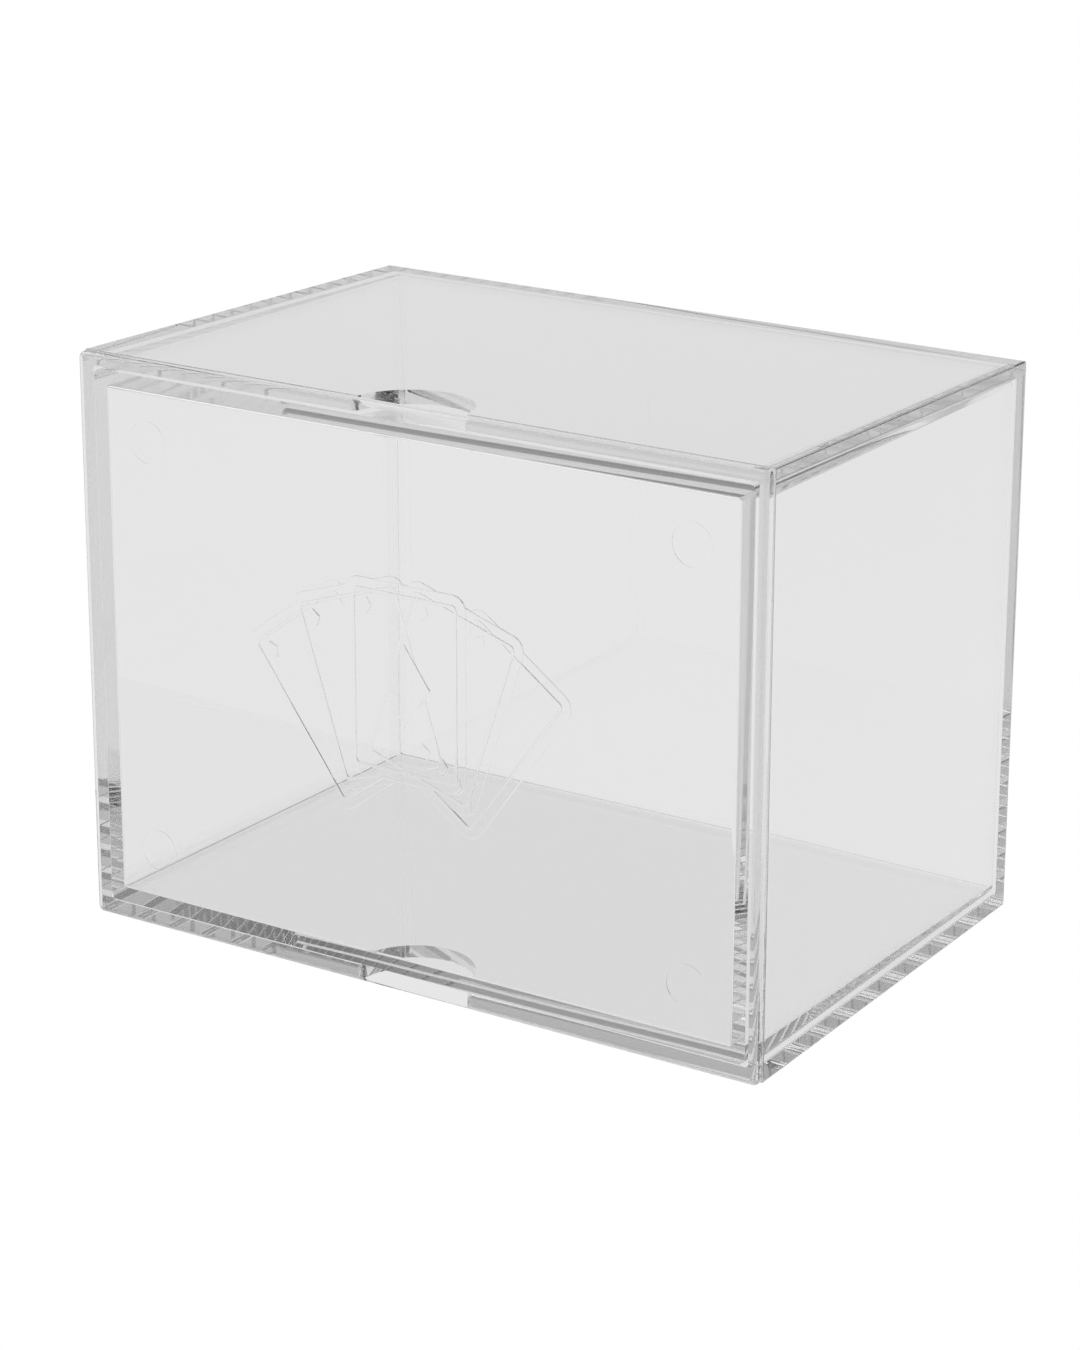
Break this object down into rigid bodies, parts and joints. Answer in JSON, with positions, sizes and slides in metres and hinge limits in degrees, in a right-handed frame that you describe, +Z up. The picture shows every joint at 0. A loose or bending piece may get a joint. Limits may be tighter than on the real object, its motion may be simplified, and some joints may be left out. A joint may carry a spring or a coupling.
{
  "type": "card deck box",
  "caption": "Clear plastic deck box for sleeved trading cards: a tray with a raised card-fan emblem on its front plate pulls straight out of a five-sided shell with thumb notches.",
  "frame": {"origin": "middle of the footprint's bounding box, on the surface that the box rests on", "axes": "+X across the front along its long side, +Y from the front plate to the back, +Z up. The bottom face is level, so the front plate leans back and the tray slides out 0.95 degrees upwards, because the mouldings taper by that angle on every side."},
  "size_m": [0.1062, 0.0714, 0.08],
  "materials": {
    "shell_clear": "clear, polished, colourless",
    "tray_clear": "clear, polished, colourless"
  },
  "bodies": {
    "shell": {"outer_shell": "shell_clear"},
    "tray": {"inner_tray": "tray_clear"}
  },
  "joints": [
    {"name": "tray_slide", "type": "slide", "parent": "shell", "child": "tray", "axis": [0, -0.9999, 0.0166], "range_m": [0, 0.075]}
  ]
}
